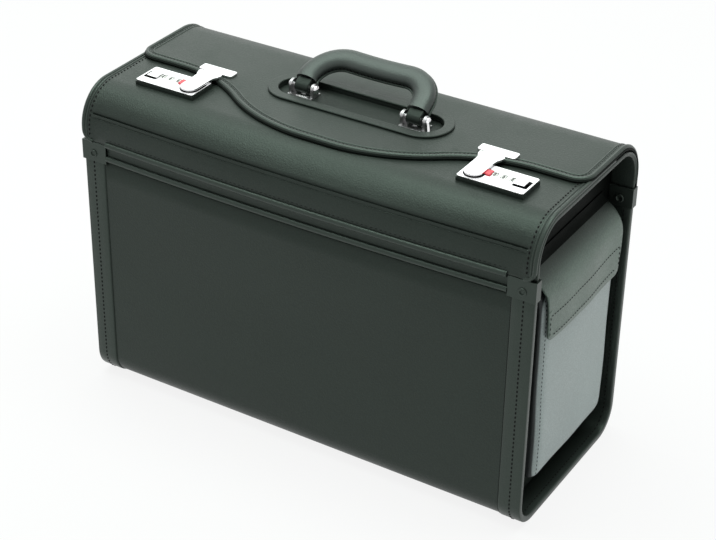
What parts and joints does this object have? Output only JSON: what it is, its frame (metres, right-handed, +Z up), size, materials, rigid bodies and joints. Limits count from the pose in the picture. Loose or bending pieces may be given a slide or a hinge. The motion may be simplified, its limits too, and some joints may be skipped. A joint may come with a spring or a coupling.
{
  "type": "pilot_case",
  "caption": "Upright leather-covered pilot case with recessed pocketed ends, overlapping top flaps, a fold-down carrying handle through a slot, and combination locks with hasps.",
  "frame": {"origin": "middle of the case on the surface it stands on", "axes": "+X along the case to the right end, -Y is the front with the locks, +Z up"},
  "size_m": [0.4632, 0.1982, 0.3422],
  "materials": {
    "leather": "satin grained",
    "binding": "satin sewn tape",
    "pocket_leather": "soft satin",
    "black_metal": "satin black",
    "chrome": "bright plated",
    "steel": "plain",
    "dial_plastic": "gloss",
    "red_plastic": "gloss",
    "lining_cloth": "woven",
    "board": "cloth-covered board"
  },
  "bodies": {
    "case": {"outer_shell": "leather", "left_edge_binding": "binding", "right_edge_binding": "binding", "left_end_panel": "leather", "right_end_panel": "leather", "left_arch_band": "leather", "right_arch_band": "leather", "front_left_bracket": "black_metal", "front_right_bracket": "black_metal", "rear_left_bracket": "black_metal", "rear_right_bracket": "black_metal", "bracket_rivets": "black_metal", "front_hinge_strip": "binding", "rear_hinge_strip": "binding", "mouth_piping": "binding", "lining": "lining_cloth", "base_board": "board", "divider": "board", "divider_rails": "board", "left_pocket": "pocket_leather", "right_pocket": "pocket_leather"},
    "left_pocket_lid": {"left_pocket_flap": "pocket_leather"},
    "right_pocket_lid": {"right_pocket_flap": "pocket_leather"},
    "front_lid": {"front_flap": "leather", "front_flap_piping": "binding", "front_flap_binding": "binding", "handle_plate": "steel", "left_handle_bracket": "chrome", "right_handle_bracket": "chrome", "handle_pins": "chrome", "handle_rivets": "steel", "left_lock_base": "black_metal", "right_lock_base": "black_metal", "left_lock_cover": "chrome", "right_lock_cover": "chrome", "dial_axles": "steel", "lock_indicators": "red_plastic"},
    "handle": {"handle_grip": "leather", "handle_core": "steel", "handle_loops": "binding"},
    "rear_lid": {"rear_flap": "leather", "rear_flap_binding": "binding", "rear_flap_piping": "binding", "slot_rim": "leather", "left_hasp_plate": "chrome", "right_hasp_plate": "chrome", "hasp_pins": "steel"},
    "left_hasp_arm": {"left_hasp": "chrome"},
    "right_hasp_arm": {"right_hasp": "chrome"},
    "left_wheel_a": {"left_dial_a": "dial_plastic"},
    "left_wheel_b": {"left_dial_b": "dial_plastic"},
    "left_wheel_c": {"left_dial_c": "dial_plastic"},
    "right_wheel_a": {"right_dial_a": "dial_plastic"},
    "right_wheel_b": {"right_dial_b": "dial_plastic"},
    "right_wheel_c": {"right_dial_c": "dial_plastic"},
    "left_slide": {"left_button": "steel", "left_bolt": "steel"},
    "right_slide": {"right_button": "steel", "right_bolt": "steel"}
  },
  "joints": [
    {"name": "rear_flap_hinge", "type": "hinge", "parent": "case", "child": "rear_lid", "pos_m": [0, 0.0995, 0.2555], "axis": [-1, 0, 0], "range_deg": [0, 180]},
    {"name": "front_flap_hinge", "type": "hinge", "parent": "case", "child": "front_lid", "pos_m": [0, -0.0995, 0.25], "axis": [1, 0, 0], "range_deg": [0, 27]},
    {"name": "handle_hinge", "type": "hinge", "parent": "front_lid", "child": "handle", "pos_m": [0, 0.005, 0.3147], "axis": [1, 0, 0], "range_deg": [0, 114]},
    {"name": "left_pocket_hinge", "type": "hinge", "parent": "case", "child": "left_pocket_lid", "pos_m": [-0.2095, 0, 0.256], "axis": [0, 1, 0], "range_deg": [0, 108]},
    {"name": "right_pocket_hinge", "type": "hinge", "parent": "case", "child": "right_pocket_lid", "pos_m": [0.2095, 0, 0.256], "axis": [0, -1, 0], "range_deg": [0, 108]},
    {"name": "left_hasp_hinge", "type": "hinge", "parent": "rear_lid", "child": "left_hasp_arm", "pos_m": [-0.14425, -0.0145, 0.3126], "axis": [-1, 0, 0], "range_deg": [0, 150]},
    {"name": "left_dial_a_turn", "type": "hinge", "parent": "front_lid", "child": "left_wheel_a", "pos_m": [-0.161, -0.042, 0.3077], "axis": [1, 0, 0], "continuous": true},
    {"name": "left_dial_b_turn", "type": "hinge", "parent": "front_lid", "child": "left_wheel_b", "pos_m": [-0.1693, -0.042, 0.3077], "axis": [1, 0, 0], "continuous": true},
    {"name": "left_dial_c_turn", "type": "hinge", "parent": "front_lid", "child": "left_wheel_c", "pos_m": [-0.1776, -0.042, 0.3077], "axis": [1, 0, 0], "continuous": true},
    {"name": "left_slide_travel", "type": "slide", "parent": "front_lid", "child": "left_slide", "axis": [-1, 0, 0], "range_m": [0, 0.0035], "stiffness_N_per_m": 60},
    {"name": "right_hasp_hinge", "type": "hinge", "parent": "rear_lid", "child": "right_hasp_arm", "pos_m": [0.14425, -0.0145, 0.3126], "axis": [-1, 0, 0], "range_deg": [0, 150]},
    {"name": "right_dial_a_turn", "type": "hinge", "parent": "front_lid", "child": "right_wheel_a", "pos_m": [0.161, -0.042, 0.3077], "axis": [1, 0, 0], "continuous": true},
    {"name": "right_dial_b_turn", "type": "hinge", "parent": "front_lid", "child": "right_wheel_b", "pos_m": [0.1693, -0.042, 0.3077], "axis": [1, 0, 0], "continuous": true},
    {"name": "right_dial_c_turn", "type": "hinge", "parent": "front_lid", "child": "right_wheel_c", "pos_m": [0.1776, -0.042, 0.3077], "axis": [1, 0, 0], "continuous": true},
    {"name": "right_slide_travel", "type": "slide", "parent": "front_lid", "child": "right_slide", "axis": [1, 0, 0], "range_m": [0, 0.0035], "stiffness_N_per_m": 60}
  ],
  "couplings": [
    {"joint": "front_flap_hinge", "follows": "rear_flap_hinge", "ratio": 0.15}
  ]
}
